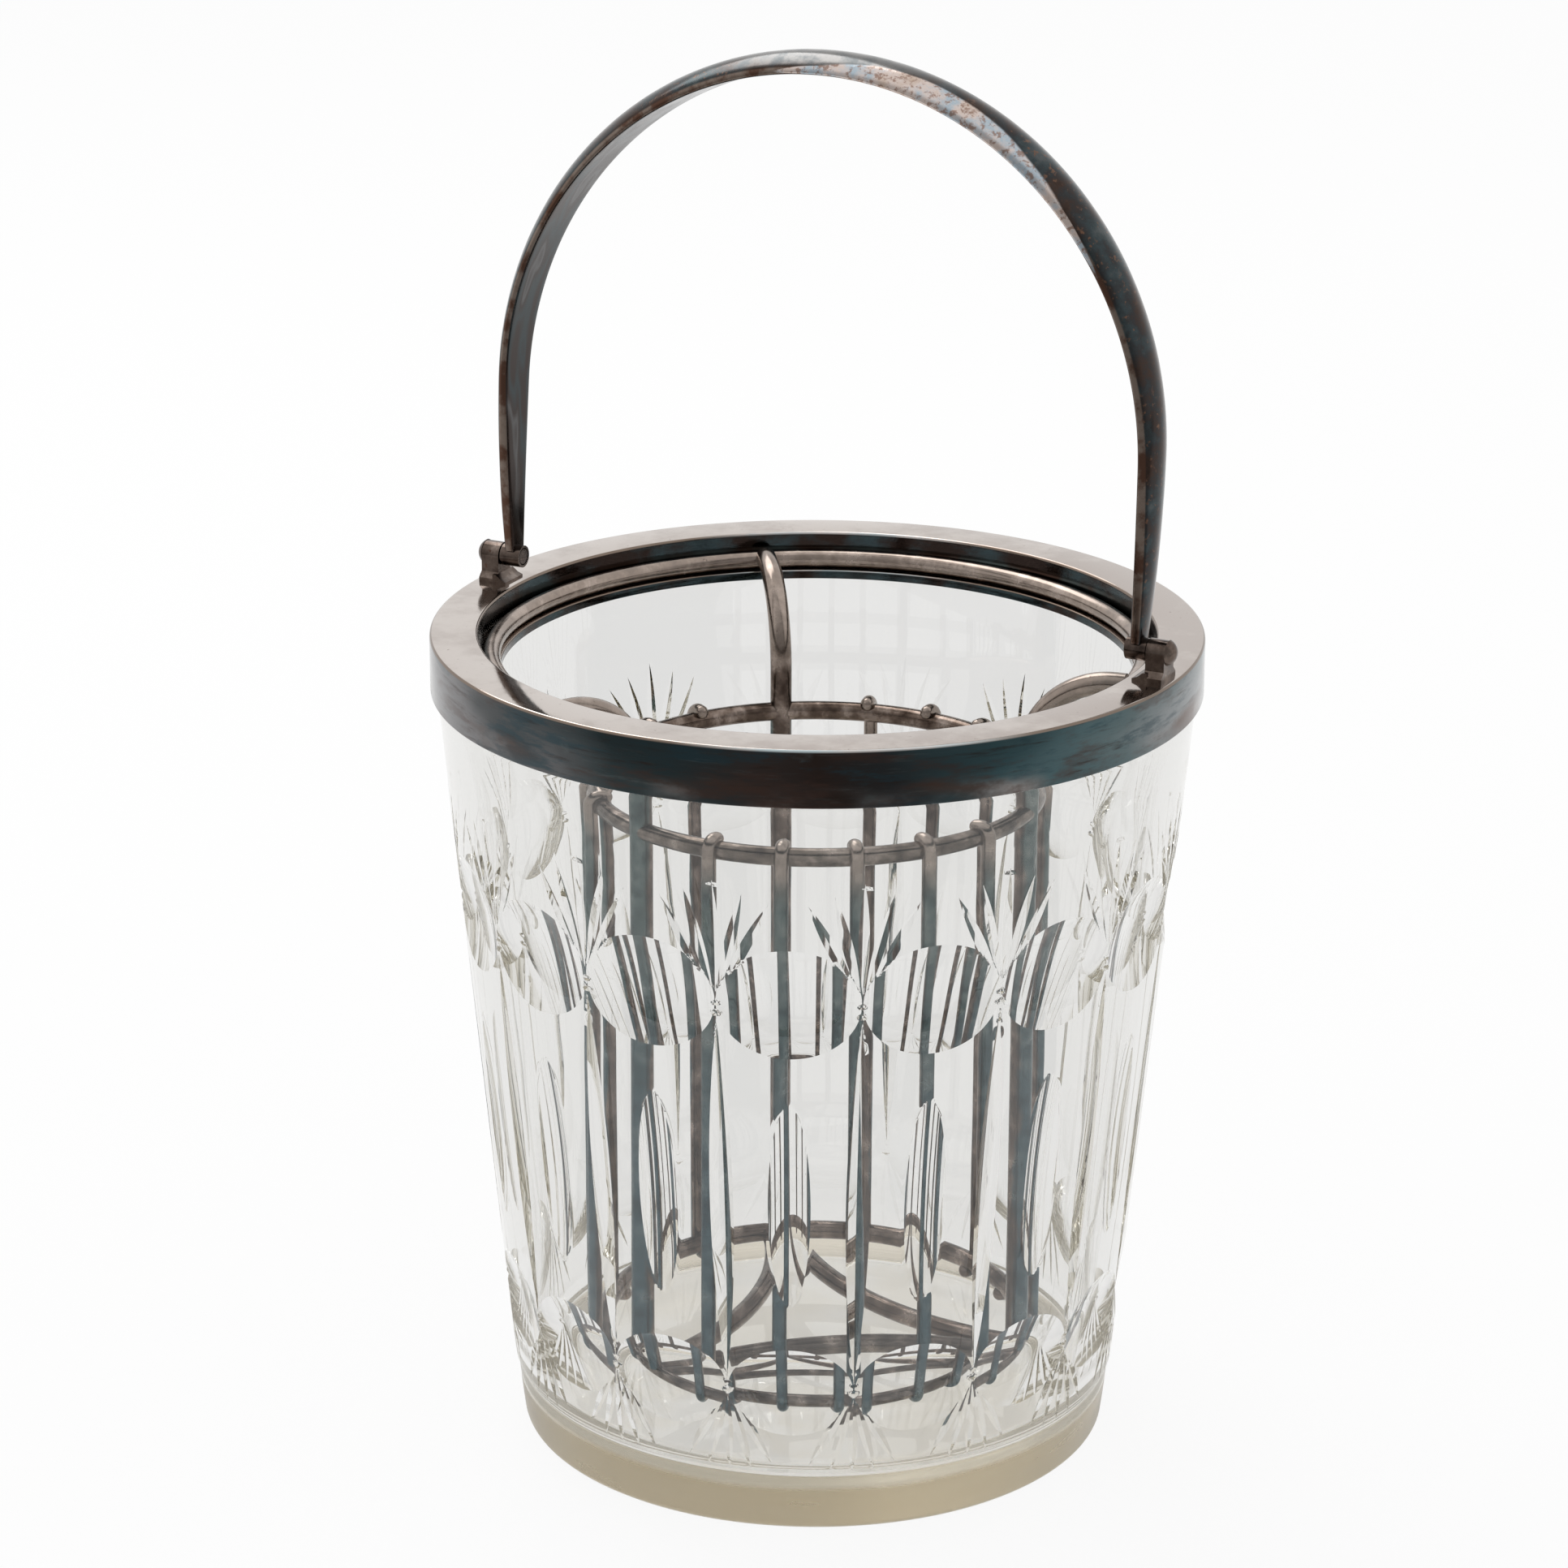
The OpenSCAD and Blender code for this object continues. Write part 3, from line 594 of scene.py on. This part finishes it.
# Tones of tarnish and of bare plate, a painted shade for the right side of the mount's flat top, and painted
# highlight colours for the mount's edge
SOOT, RUST, UMBER = (0.030, 0.021, 0.018), (0.085, 0.046, 0.032), (0.16, 0.115, 0.09)
BRUISE, DUSK, TEAL = (0.060, 0.034, 0.027), (0.022, 0.048, 0.060), (0.042, 0.062, 0.068)
STEEL, PEARL = (0.105, 0.125, 0.125), (0.30, 0.275, 0.265)
SILVER, DULL_AND_SHADED_SILVER, HANDLED = (0.57, 0.515, 0.475), (0.44, 0.385, 0.35), (0.50, 0.42, 0.365)
WARM_EDGE_HIGHLIGHT, COOL_EDGE_HIGHLIGHT, DULL_EDGE = (0.66, 0.60, 0.57), (0.50, 0.58, 0.60), (0.20, 0.155, 0.125)
# Level directions towards the front and to the right of the photograph
FRONT = (math.sin(math.radians(VIEW_TURN)), -math.cos(math.radians(VIEW_TURN)), 0.0)
RIGHT = (-FRONT[1], FRONT[0], 0.0)
# Tarnish round the mount's band, from its left to its right side, with painted dark reflection of the room
# away from the sides and painted pale reflection towards both sides
BAND_TARNISH_AND_REFLECTION = ((0.0, (0.150, 0.147, 0.150)), (0.05, (0.068, 0.072, 0.074)), (0.12, (0.028, 0.040, 0.043)),
              (0.25, (0.028, 0.042, 0.046)), (0.38, (0.040, 0.033, 0.031)), (0.5, (0.030, 0.021, 0.018)),
              (0.63, (0.026, 0.029, 0.031)), (0.8, (0.042, 0.082, 0.092)), (0.93, (0.090, 0.125, 0.130)),
              (1.0, (0.190, 0.205, 0.210)))
# Heights of the worn lower edge of the band
BAND_LOW = (0.1965, 0.2005)
# Depth and strength of the fine relief
PLATE_RELIEF, HINGE_RELIEF, WIRE_RELIEF = (0.00006, 0.3), (0.00004, 0.3), (0.00007, 0.3)
# Roughness of the metals, from the lower to the upper end of the middle part of a noise
MIDDLE = (0.3, 0.7)
MOUNT_ROUGH, HANDLE_ROUGH, HINGE_ROUGH, WIRE_ROUGH = (0.07, 0.16), (0.12, 0.24), (0.12, 0.24), (0.14, 0.28)


def mount_material():
    """Silver plate: bright where the flat top is handled, with painted shade towards its right; tarnished
    brown and teal round the band, with painted dark reflection away from its sides, painted pale reflection
    towards them and a painted highlight along the edge above it.
    """
    t = Tree("mount_plate")
    at, normal = t.place(), t.facing()
    out = t.outwards(at)
    height, up = t.split(at)[2], t.split(normal)[2]
    patch = t.noise(at, scale=17.0, detail=3.0, rough=0.5, stretch=(1.0, 1.0, 2.5))
    cloud = t.noise(at, scale=60.0, detail=5.0, rough=0.6, stretch=(1.0, 1.0, 1.8))
    stain = t.noise(at, scale=26.0, detail=7.0, rough=0.68, stretch=(1.0, 1.0, 5.0))
    streak = t.noise(at, scale=45.0, detail=6.0, rough=0.72, stretch=(1.0, 1.0, 14.0))
    grain = t.noise(at, scale=700.0, detail=3.0, rough=0.6)
    aside = t.vector("DOT_PRODUCT", out, RIGHT)
    # Band colour by side: tarnish, darkened away from the sides and paled towards them by painted reflection
    band = t.ramp(t.lean(t.step(aside, -1.0, 1.0), patch, share=0.35), BAND_TARNISH_AND_REFLECTION)
    bruised, dusky = t.step(stain, 0.50, 0.62), t.fall(stain, 0.38, 0.47)
    band = t.veil(band, BRUISE, bruised, share=0.55)
    band = t.veil(band, DUSK, dusky, share=0.6)
    bright, sooty = t.step(streak, 0.54, 0.70), t.fall(streak, 0.30, 0.46)
    band = t.veil(band, STEEL, bright, share=0.3)
    band = t.veil(band, SOOT, sooty, share=0.7)
    worn = t.times(t.fall(t.lean(height, cloud, share=0.010), *BAND_LOW), t.step(patch, 0.42, 0.62))
    band = t.mix(worn, band, t.mix(t.step(cloud, 0.4, 0.65), RUST, PEARL))
    cloudy = t.step(cloud, 0.60, 0.72)
    band = t.veil(band, STEEL, cloudy, share=0.4)
    inside = t.fall(t.vector("DOT_PRODUCT", normal, out), -0.6, -0.2)
    band = t.mix(inside, band, t.mix(t.step(cloud, 0.4, 0.6), SOOT, TEAL))
    # Duller patches on the flat top, with painted shade that grows towards its right side
    dullness_and_shade = t.lean(cloud, t.step(aside, 0.0, 1.0, 0.5, 1.0), share=0.4)
    flat = t.mix(t.step(dullness_and_shade, 0.40, 0.68), SILVER, DULL_AND_SHADED_SILVER)
    specks = t.step(grain, 0.66, 0.80)
    flat = t.mix(specks, flat, UMBER)
    # Painted highlight along the rounded edge between the top and the band, away from the far left and right
    # sides; brown stain on the rest of the edge
    edge = t.mix(t.step(cloud, 0.35, 0.65), WARM_EDGE_HIGHLIGHT, COOL_EDGE_HIGHLIGHT)
    highlit_share = t.times(t.step(aside, -0.40, -0.10), t.fall(aside, 0.25, 0.55))
    edge = t.mix(highlit_share, DULL_EDGE, edge)
    on_edge, on_top = t.step(up, 0.12, 0.40), t.step(up, 0.86, 0.97)
    colour = t.mix(on_top, t.mix(on_edge, band, edge), flat)
    rough = t.step(cloud, *MIDDLE, *MOUNT_ROUGH)
    relief = t.bump(t.blend(grain, 0.3, streak, 0.7), *PLATE_RELIEF)
    t.principled(Base_Color=colour, Metallic=1.0, Roughness=rough, Normal=relief)
    return t.material


HANDLE_TONES = ((0.38, SOOT), (0.46, (0.050, 0.034, 0.028)), (0.52, (0.036, 0.036, 0.037)),
                (0.58, (0.040, 0.053, 0.057)), (0.66, (0.078, 0.086, 0.087)))
REFLECTED_SWIRL_TONES = ((0.40, SOOT), (0.45, (0.080, 0.078, 0.078)), (0.49, SOOT), (0.58, (0.030, 0.040, 0.043)),
               (0.64, SOOT))
SHEEN_TONES = ((0.36, (0.50, 0.38, 0.30)), (0.46, (0.62, 0.53, 0.49)), (0.53, (0.38, 0.46, 0.52)),
               (0.60, (0.62, 0.55, 0.52)), (0.68, (0.52, 0.48, 0.51)))
FLECK, SHEEN_FLECK = (0.14, 0.080, 0.054), (0.25, 0.15, 0.11)
APEX_PALE, APEX_DARK, INNER_REFLECTED_PALE = (0.17, 0.165, 0.16), (0.085, 0.092, 0.095), (0.095, 0.100, 0.104)
WORN_EDGE = (0.19, 0.15, 0.125)
# Places across the band over which the painted pale reflection along the front of its inside ends
STRIP_END = (-0.0060, -0.0046)
# The painted sheen of the lit facet is a tongue about this place to the right of the apex, and it narrows to
# both sides
TONGUE_AT, TONGUE_BEND = 0.36, 2.6


def handle_material():
    """Dark, iridescent plate, worn bright along the edges, with a painted sheen on the front of the right
    shoulder and painted reflections on its inside.
    """
    t = Tree("handle_plate")
    at, normal = t.place(), t.facing()
    across = t.vector("DOT_PRODUCT", normal, HANDLE_ACROSS)
    bow = t.vector("SUBTRACT", at, HANDLE_HUB)
    round_arch = t.vector("NORMALIZE", t.vector("MULTIPLY", bow, (1.0, 0.0, 1.0)))
    right, _, top = t.split(round_arch)
    outer = t.vector("DOT_PRODUCT", normal, round_arch)
    patch = t.noise(at, scale=34.0, detail=4.0, rough=0.55)
    cloud = t.noise(at, scale=130.0, detail=6.0, rough=0.65)
    fleck = t.noise(at, scale=620.0, detail=4.0, rough=0.65)
    curl = t.noise(at, scale=55.0, detail=2.0, rough=0.5, stretch=(1.0, 2.0, 0.5))
    tone = t.blend(patch, 0.5, cloud, 0.5)
    base = t.ramp(tone, HANDLE_TONES)
    flecked = t.times(t.step(fleck, 0.57, 0.68), t.step(patch, 0.40, 0.54))
    base = t.mix(flecked, base, FLECK)
    apex = t.times(t.step(outer, 0.6, 0.9), t.step(t.lean(top, cloud, share=0.12), 0.93, 0.99))
    base = t.mix(apex, base, t.mix(t.step(cloud, 0.4, 0.62), APEX_PALE, APEX_DARK))
    # Painted reflections on the inside of the band: dark swirls, and a pale strip along its front
    place = t.lean(t.vector("DOT_PRODUCT", bow, HANDLE_ACROSS), patch, share=0.006)
    inner_reflection = t.mix(t.fall(place, *STRIP_END), t.ramp(curl, REFLECTED_SWIRL_TONES), INNER_REFLECTED_PALE)
    inside = t.fall(outer, -0.7, -0.4)
    base = t.mix(inside, base, inner_reflection)
    edge = t.step(t.math("ABSOLUTE", across), 0.80, 0.94)
    base = t.mix(edge, base, t.mix(t.step(cloud, 0.42, 0.60), RUST, WORN_EDGE))
    # Painted sheen where the front of the right shoulder catches the light, with real flecks in it
    sheen = t.ramp(tone, SHEEN_TONES)
    sheen = t.veil(sheen, SHEEN_FLECK, t.step(fleck, 0.50, 0.62), share=0.8)
    tongue = t.math("POWER", t.math("ABSOLUTE", t.math("SUBTRACT", right, TONGUE_AT)), 2.0)
    tongue = t.math("ADD", across, t.times(tongue, TONGUE_BEND))
    lit = t.times(t.fall(t.lean(tongue, patch, share=0.2), -0.40, -0.33), t.step(top, 0.1, 0.3))
    colour = t.mix(lit, base, sheen)
    rough = t.step(cloud, *MIDDLE, *HANDLE_ROUGH)
    relief = t.bump(t.blend(fleck, 0.3, cloud, 0.7), *PLATE_RELIEF)
    t.principled(Base_Color=colour, Metallic=1.0, Roughness=rough, Normal=relief)
    return t.material


HINGE_TONES = ((0.34, (0.035, 0.026, 0.022)), (0.46, (0.085, 0.063, 0.052)), (0.58, (0.135, 0.104, 0.087)),
               (0.70, (0.26, 0.21, 0.18)))


def hinge_material():
    """Brown plate of lugs, pins and knuckles."""
    t = Tree("hinge_plate")
    at = t.place()
    cloud = t.noise(at, scale=170.0, detail=5.0, rough=0.6)
    grain = t.noise(at, scale=900.0, detail=3.0, rough=0.6)
    specks = t.step(grain, 0.62, 0.75)
    colour = t.mix(specks, t.ramp(cloud, HINGE_TONES), RUST)
    rough = t.step(cloud, *MIDDLE, *HINGE_ROUGH)
    relief = t.bump(grain, *HINGE_RELIEF)
    t.principled(Base_Color=colour, Metallic=1.0, Roughness=rough, Normal=relief)
    return t.material


WIRE_STOPS = (0.34, 0.5, 0.66)
BROWN = ((0.050, 0.034, 0.026), (0.150, 0.111, 0.089), (0.38, 0.31, 0.27))
DARK_BROWN = ((0.050, 0.036, 0.029), (0.130, 0.098, 0.081), (0.32, 0.26, 0.225))
BLOOM = ((0.034, 0.060, 0.062), (0.078, 0.120, 0.116), (0.18, 0.215, 0.205))
DEEP_BLOOM = ((0.010, 0.036, 0.052), (0.022, 0.072, 0.098), (0.075, 0.130, 0.150))
# Heights over which the bloom turns from deep to pale, and the length over which it ends below the bare part
BLOOM_PASS, BARE_PASS = (0.08, 0.15), 0.012
# Shares of deep bloom below and above those heights
DEEP_BELOW, DEEP_ABOVE = 0.85, 0.15
# Shares of bloom on rings and on bars, and of the bloom that bare wire lacks
RING_BLOOM, BAR_BLOOM, BARE_LACK = 0.2, 0.9, 0.85
# Heights from which the wires are bare
RING_BARE, ARM_BARE, BAR_BARE = 0.195, 0.192, 0.168


def wire_material(name, tones, bloom_share, bare_from):
    """Plated wire: brownish, with a blue-green bloom on the side that faces out, bare above a height."""
    t = Tree(name)
    at = t.place()
    height = t.split(at)[2]
    outward = t.vector("DOT_PRODUCT", t.facing(), t.outwards(at))
    patch = t.noise(at, scale=75.0, detail=3.0, rough=0.5)
    cloud = t.noise(at, scale=160.0, detail=5.0, rough=0.6)
    grain = t.noise(at, scale=900.0, detail=4.0, rough=0.6)
    worn, pale, deep = (t.ramp(cloud, tuple(zip(WIRE_STOPS, each))) for each in (tones, BLOOM, DEEP_BLOOM))
    bloom = t.mix(t.step(height, *BLOOM_PASS, DEEP_BELOW, DEEP_ABOVE), pale, deep)
    faces_out = t.step(t.lean(outward, patch, share=2.4), -0.3, 0.3)
    bare = t.step(height, bare_from - BARE_PASS, bare_from)
    share = t.times(t.times(faces_out, bloom_share), t.math("SUBTRACT", 1.0, t.times(bare, BARE_LACK)))
    worn = t.veil(worn, HANDLED, bare, share=0.45)
    colour = t.mix(share, worn, bloom)
    specks = t.step(grain, 0.62, 0.80)
    colour = t.veil(colour, tones[0], specks, share=0.6)
    rough = t.step(cloud, *MIDDLE, *WIRE_ROUGH)
    relief = t.bump(t.blend(cloud, 0.85, grain, 0.15), *WIRE_RELIEF)
    t.principled(Base_Color=colour, Metallic=1.0, Roughness=rough, Normal=relief)
    return t.material


CLEAR, GLASS_IOR, GLASS_RELIEF = (0.98, 0.98, 0.975), 1.52, (0.00008, 0.5)
# Two tones of the ground side of the foot and of its underside
GROUND_TONES = ((0.75, 0.64, 0.46), (0.79, 0.69, 0.52))
UNDER_TONES = ((0.95, 0.93, 0.88), (0.88, 0.82, 0.70))
# Heights over which the ground side and the underside end
GROUND_TOP, UNDER_TOP = (0.0108, 0.0124), (0.0006, 0.0012)
# Distances from the axis over which the ground side starts
GROUND_FROM = (0.0705, 0.0715)
# Roughness there, and the share of the fine relief that grinding leaves
GROUND_ROUGH, UNDER_ROUGH, GROUND_RELIEF = (0.26, 0.36), 0.18, 0.05
DEPTH_TINT, DEPTH_DENSITY = (0.66, 0.62, 0.50, 1.0), 8.0


def glass_material():
    """Clear glass with a faint tint in its depth, and a ground, worn foot."""
    t = Tree("cut_glass")
    at = t.place()
    height = t.split(at)[2]
    streak = t.noise(at, scale=30.0, detail=3.0, rough=0.5, stretch=(1.0, 1.0, 6.0))
    waves = t.noise(at, scale=38.0, detail=1.0, rough=0.4)
    fine = t.noise(at, scale=1500.0, detail=2.0, rough=0.5)
    ground = t.fall(t.lean(height, streak, share=0.002), *GROUND_TOP)
    ground = t.times(ground, t.step(t.vector("LENGTH", t.level(at)), *GROUND_FROM))
    under = t.fall(height, *UNDER_TOP)
    rough = t.times(ground, t.step(streak, *MIDDLE, *GROUND_ROUGH))
    rough = t.math("MAXIMUM", rough, t.times(under, UNDER_ROUGH))
    colour = t.mix(ground, CLEAR, t.mix(t.step(streak, 0.2, 0.8), *GROUND_TONES))
    colour = t.mix(under, colour, t.mix(t.step(streak, 0.35, 0.6), *UNDER_TONES))
    relief = t.math("ADD", waves, t.times(t.times(ground, fine), GROUND_RELIEF))
    relief = t.bump(relief, *GLASS_RELIEF)
    t.principled(Base_Color=colour, Transmission_Weight=1.0, IOR=GLASS_IOR, Roughness=rough, Normal=relief)
    t.join(t.add("ShaderNodeVolumeAbsorption", {"Color": DEPTH_TINT, "Density": DEPTH_DENSITY}), "Volume")
    return t.material


def set_material(obj, material):
    obj.data.materials.clear()
    obj.data.materials.append(material)


def finer_piece(obj, material, body, node):
    """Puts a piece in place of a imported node."""
    set_material(obj, material)
    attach(obj, body)
    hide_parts(node)


def dress():
    """Finer pieces for glass, mount and handle, and materials for all other nodes."""
    finer_piece(make_glass(), glass_material(), "vessel", "glass_vessel")
    finer_piece(make_rim(), mount_material(), "vessel", "rim_mount")
    finer_piece(make_handle(), handle_material(), "handle", "handle_arch")
    hinge = hinge_material()
    ring = wire_material("ring_wire", BROWN, RING_BLOOM, RING_BARE)
    foot = wire_material("foot_wire", DARK_BROWN, RING_BLOOM, RING_BARE)
    arm = wire_material("arm_wire", DARK_BROWN, BAR_BLOOM, ARM_BARE)
    bar = wire_material("bar_wire", DARK_BROWN, BAR_BLOOM, BAR_BARE)
    for name, obj in nodes.items():
        if name.startswith(("lug", "pin", "knuckle")):
            set_material(obj, hinge)
        elif name.startswith("thin_bar"):
            set_material(obj, bar)
        elif name.startswith("arm_bar"):
            set_material(obj, arm)
        elif name.startswith(("bottom_ring", "rest_arc")):
            set_material(obj, foot)
        elif name.startswith(("hanging_ring", "upper_ring")):
            set_material(obj, ring)


# Stage, in metres
FLOOR_SIDE, FLOOR_DROP, FLOOR_SHARP = 12.0, 0.0002, 30
WHITE, FLOOR_PAINT = (1.0, 1.0, 1.0, 1.0), (0.92, 0.92, 0.92, 1.0)
# Share of the floor's paint that glows
FLOOR_GLOW = 0.90
# Brightness of the surroundings: seen directly, through glass, in metal to the back and to the front,
# and by matt things
SEEN, THROUGH, MIRRORED, MIRRORED_FRONT, AMBIENT = 1.0, 0.82, 1.0, 0.45, 0.75
# The backdrop as seen directly, no brighter than the floor in front of it
BACKDROP = 0.97
# Distances along the floor, and parts of a direction, over which the photographer's side starts
FLOOR_FRONT, WORLD_FRONT = (0.12, 0.6), (0.1, 0.9)
LAMP_AT, LAMP_TARGET, LAMP_SIDE, LAMP_WATTS = (-0.9, 0.6, 1.5), (0.0, 0.0, 0.15), 1.0, 9.0
LIGHT_PATHS = 40


def surroundings(t, front, seen):
    """Brightness of the surroundings for each kind of ray, darker in mirrors on the photographer's side."""
    path = t.add("ShaderNodeLightPath").outputs

    def choose(switch, no, yes):
        return t.add("ShaderNodeMix", {0: path[switch], 2: no, 3: yes}, data_type="FLOAT").outputs[0]

    mirrored = t.step(front, 0.0, 1.0, MIRRORED, MIRRORED_FRONT)
    level = choose("Is Glossy Ray", AMBIENT, mirrored)
    level = choose("Is Transmission Ray", level, THROUGH)
    return choose("Is Camera Ray", level, seen)


def make_stage():
    """A white floor that takes soft shadows and glows."""
    t = Tree("stage_floor")
    place = t.add("ShaderNodeNewGeometry").outputs["Position"]
    front = t.step(t.vector("DOT_PRODUCT", place, FRONT), *FLOOR_FRONT)
    glow = t.add("ShaderNodeEmission", {"Color": WHITE, "Strength": surroundings(t, front, SEEN)})
    matte = t.add("ShaderNodeBsdfDiffuse", {"Color": FLOOR_PAINT})
    both = t.add("ShaderNodeMixShader", {0: FLOOR_GLOW, 1: matte.outputs[0], 2: glow.outputs[0]})
    t.join(both, "Surface")
    half = FLOOR_SIDE / 2
    corners = [(-half, -half), (half, -half), (half, half), (-half, half)]
    floor = mesh_object("stage_floor", [(x, y, -FLOOR_DROP) for x, y in corners], [(0, 1, 2, 3)], FLOOR_SHARP)
    set_material(floor, t.material)


def make_world():
    """A plain white backdrop all round."""
    world = bpy.data.worlds.new("studio")
    bpy.context.scene.world = world
    t = Tree(world, "ShaderNodeOutputWorld")
    way = t.add("ShaderNodeTexCoord").outputs["Generated"]
    front = t.step(t.vector("DOT_PRODUCT", way, FRONT), *WORLD_FRONT)
    back = t.add("ShaderNodeBackground", {"Color": WHITE, "Strength": surroundings(t, front, BACKDROP)})
    t.join(back, "Surface")


def make_lamp():
    """A square lamp above the left side."""
    data = bpy.data.lights.new("key_lamp", "AREA")
    data.shape = "RECTANGLE"
    data.size, data.size_y = LAMP_SIDE, LAMP_SIDE
    data.energy = LAMP_WATTS
    lamp = bpy.data.objects.new("key_lamp", data)
    lamp.location = LAMP_AT
    lamp.rotation_mode = "QUATERNION"
    lamp.rotation_quaternion = (Vector(LAMP_TARGET) - Vector(LAMP_AT)).to_track_quat("-Z", "Y")
    bpy.context.scene.collection.objects.link(lamp)


make_camera()
dress()
make_stage()
make_world()
make_lamp()
bpy.context.scene.view_settings.view_transform = "Standard"
paths = bpy.context.scene.cycles
paths.max_bounces = paths.transmission_bounces = paths.glossy_bounces = LIGHT_PATHS
